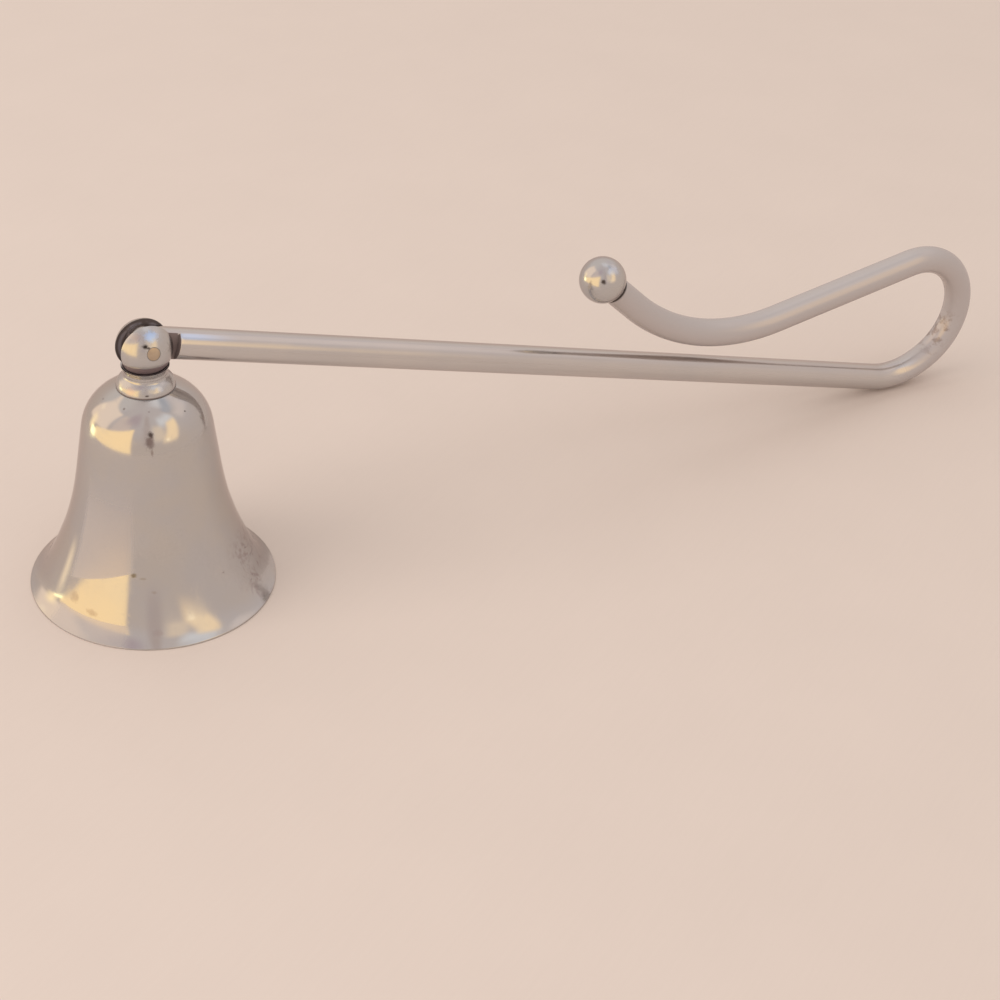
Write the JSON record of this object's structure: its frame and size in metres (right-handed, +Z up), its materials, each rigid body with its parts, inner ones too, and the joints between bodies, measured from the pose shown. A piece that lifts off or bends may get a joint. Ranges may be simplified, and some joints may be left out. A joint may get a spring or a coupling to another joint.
{
  "type": "candle snuffer",
  "caption": "Candle snuffer: a flared bell hinged under a slotted ball on a long round-rod handle that curls back into an open hook with a ball tip.",
  "frame": {"origin": "centre of the bell's mouth, in the plane that its rim stands on", "axes": "+Z up along the bell's axis, +X along the handle away from the hinge, the hinge pin along Y"},
  "size_m": [0.2244, 0.0474, 0.0568],
  "materials": {
    "bell_plate": "polished plate, hazy, with faint tarnish towards the rim",
    "fitting_plate": "polished plate",
    "rod_plate": "polished plate with fine drawing marks along the rod",
    "pin_brass": "dressed flush, dull",
    "fixing_steel": "plain, dull"
  },
  "bodies": {
    "bell": {"bell_shell": "bell_plate", "collar": "fitting_plate", "hinge_ball": "fitting_plate", "pivot_pin": "pin_brass", "crown_washer": "fixing_steel", "crown_nut": "fixing_steel"},
    "handle": {"handle_rod": "rod_plate", "end_ball": "fitting_plate"}
  },
  "joints": [
    {"name": "bell_hinge", "type": "hinge", "parent": "bell", "child": "handle", "pos_m": [0, 0, 0.0529], "axis": [0, -1, 0], "range_deg": [0, 201.5]}
  ]
}
